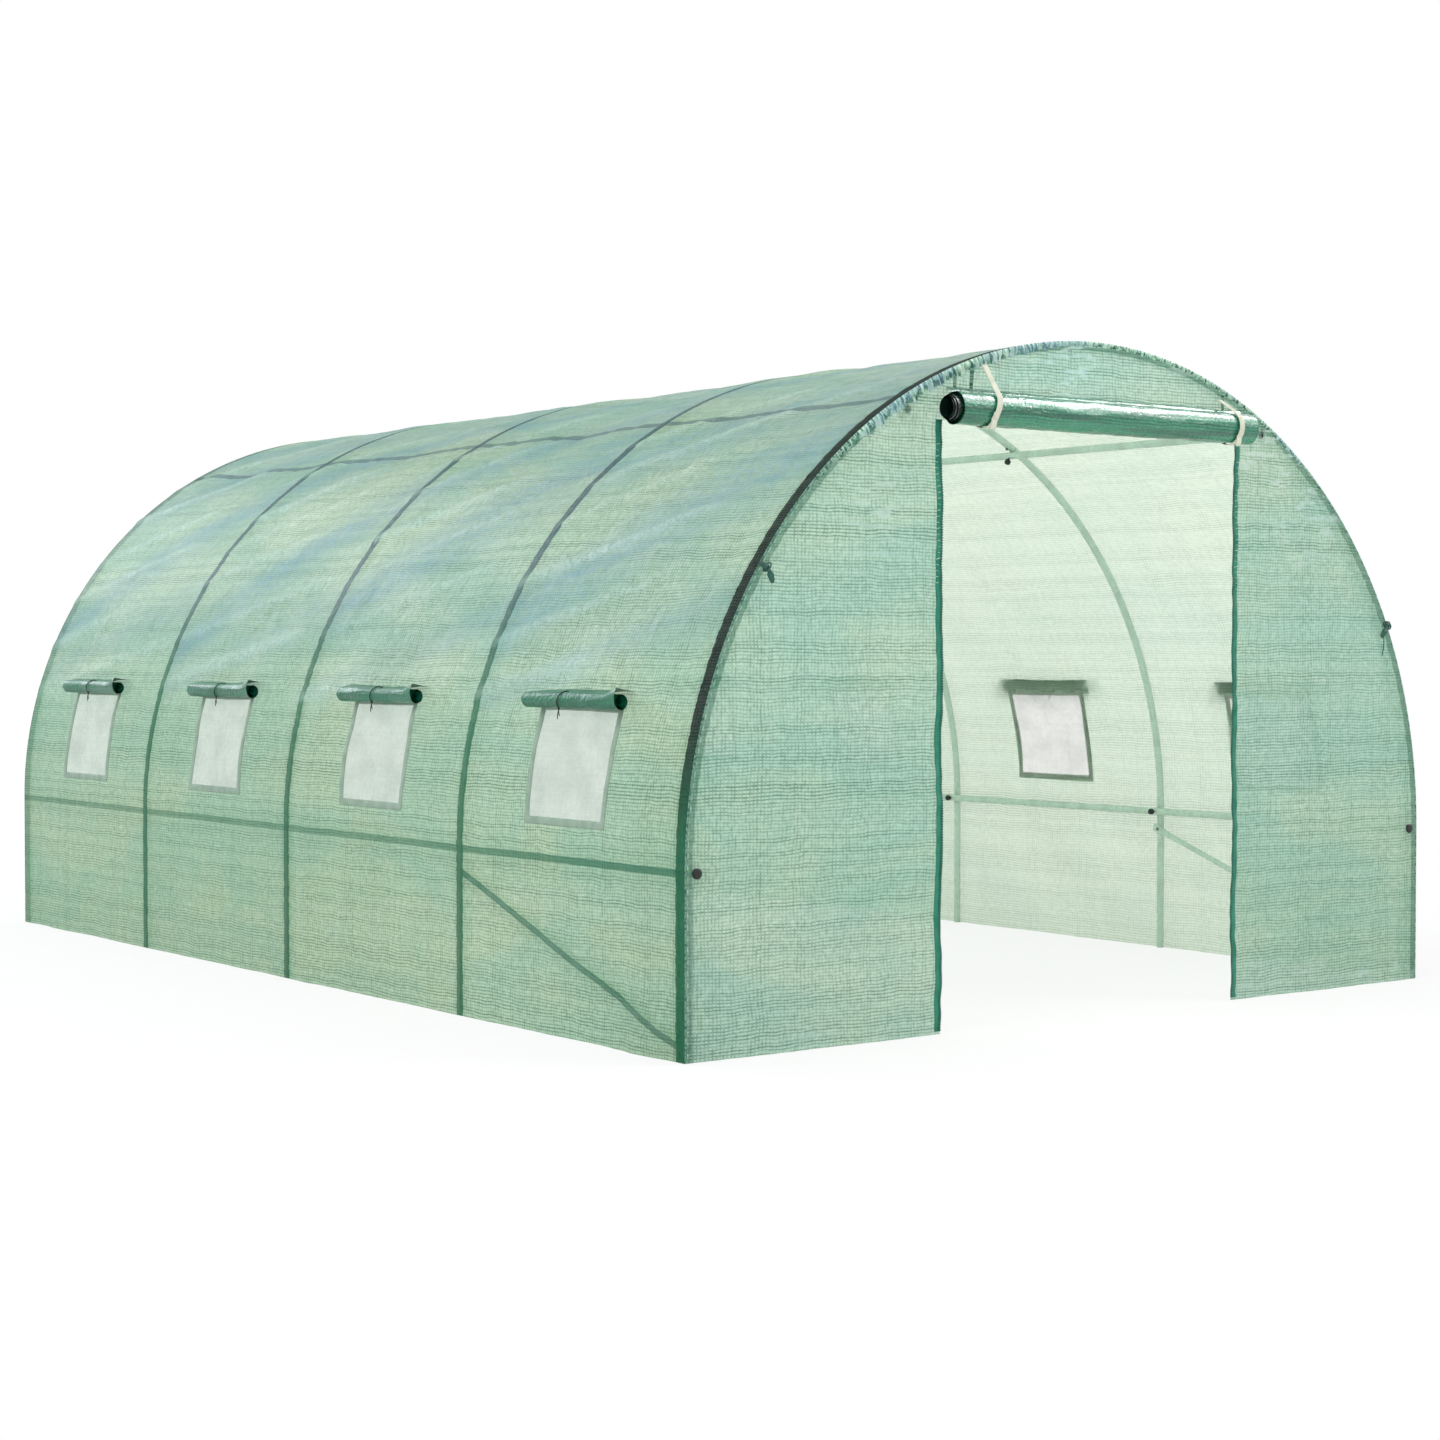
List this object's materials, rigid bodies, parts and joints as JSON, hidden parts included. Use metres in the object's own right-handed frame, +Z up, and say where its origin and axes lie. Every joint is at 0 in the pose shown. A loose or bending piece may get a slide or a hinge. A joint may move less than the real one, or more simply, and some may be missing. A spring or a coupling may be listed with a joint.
{
  "type": "polytunnel greenhouse",
  "caption": "Walk-in garden tunnel: bent tube hoops and rails under a translucent woven cover, with net windows in both sides and a doorway whose zipped door is rolled up.",
  "frame": {"origin": "middle of the whole footprint, rolled door included, at ground level", "axes": "+X to the right seen from the door end, +Y from the door end to the back end, +Z up"},
  "size_m": [3, 4.6048, 2],
  "materials": {
    "frame_tube": "satin",
    "black_plug": "matte",
    "cover_film": "woven film",
    "rolled_film": "glossy film",
    "window_net": "net",
    "edge_binding": "woven tape",
    "zip_tape": "woven tape",
    "cream_tape": "woven tape"
  },
  "bodies": {
    "root": {"back_panel": "cover_film", "back_rail_caps": "black_plug", "door_roll": "rolled_film", "door_ties": "cream_tape", "front_rail_caps": "black_plug", "front_top_panel": "cover_film", "hoop_1_crown": "frame_tube", "hoop_1_legs": "frame_tube", "hoop_1_side_arcs": "frame_tube", "hoop_2_crown": "frame_tube", "hoop_2_legs": "frame_tube", "hoop_2_side_arcs": "frame_tube", "hoop_3_crown": "frame_tube", "hoop_3_legs": "frame_tube", "hoop_3_side_arcs": "frame_tube", "hoop_4_crown": "frame_tube", "hoop_4_legs": "frame_tube", "hoop_4_side_arcs": "frame_tube", "hoop_5_crown": "frame_tube", "hoop_5_legs": "frame_tube", "hoop_5_side_arcs": "frame_tube", "left_door_zip": "zip_tape", "left_front_brace": "frame_tube", "left_front_panel": "cover_film", "left_lower_rail": "frame_tube", "left_roof_band": "cover_film", "left_shoulder_band": "cover_film", "left_skirt": "cover_film", "left_upper_rail": "frame_tube", "left_window_band": "cover_film", "left_window_bindings": "edge_binding", "left_window_flaps": "rolled_film", "left_window_nets": "window_net", "right_door_zip": "zip_tape", "right_front_brace": "frame_tube", "right_front_panel": "cover_film", "right_lower_rail": "frame_tube", "right_roof_band": "cover_film", "right_shoulder_band": "cover_film", "right_skirt": "cover_film", "right_upper_rail": "frame_tube", "right_window_band": "cover_film", "right_window_bindings": "edge_binding", "right_window_flaps": "rolled_film", "right_window_nets": "window_net"}
  },
  "joints": []
}
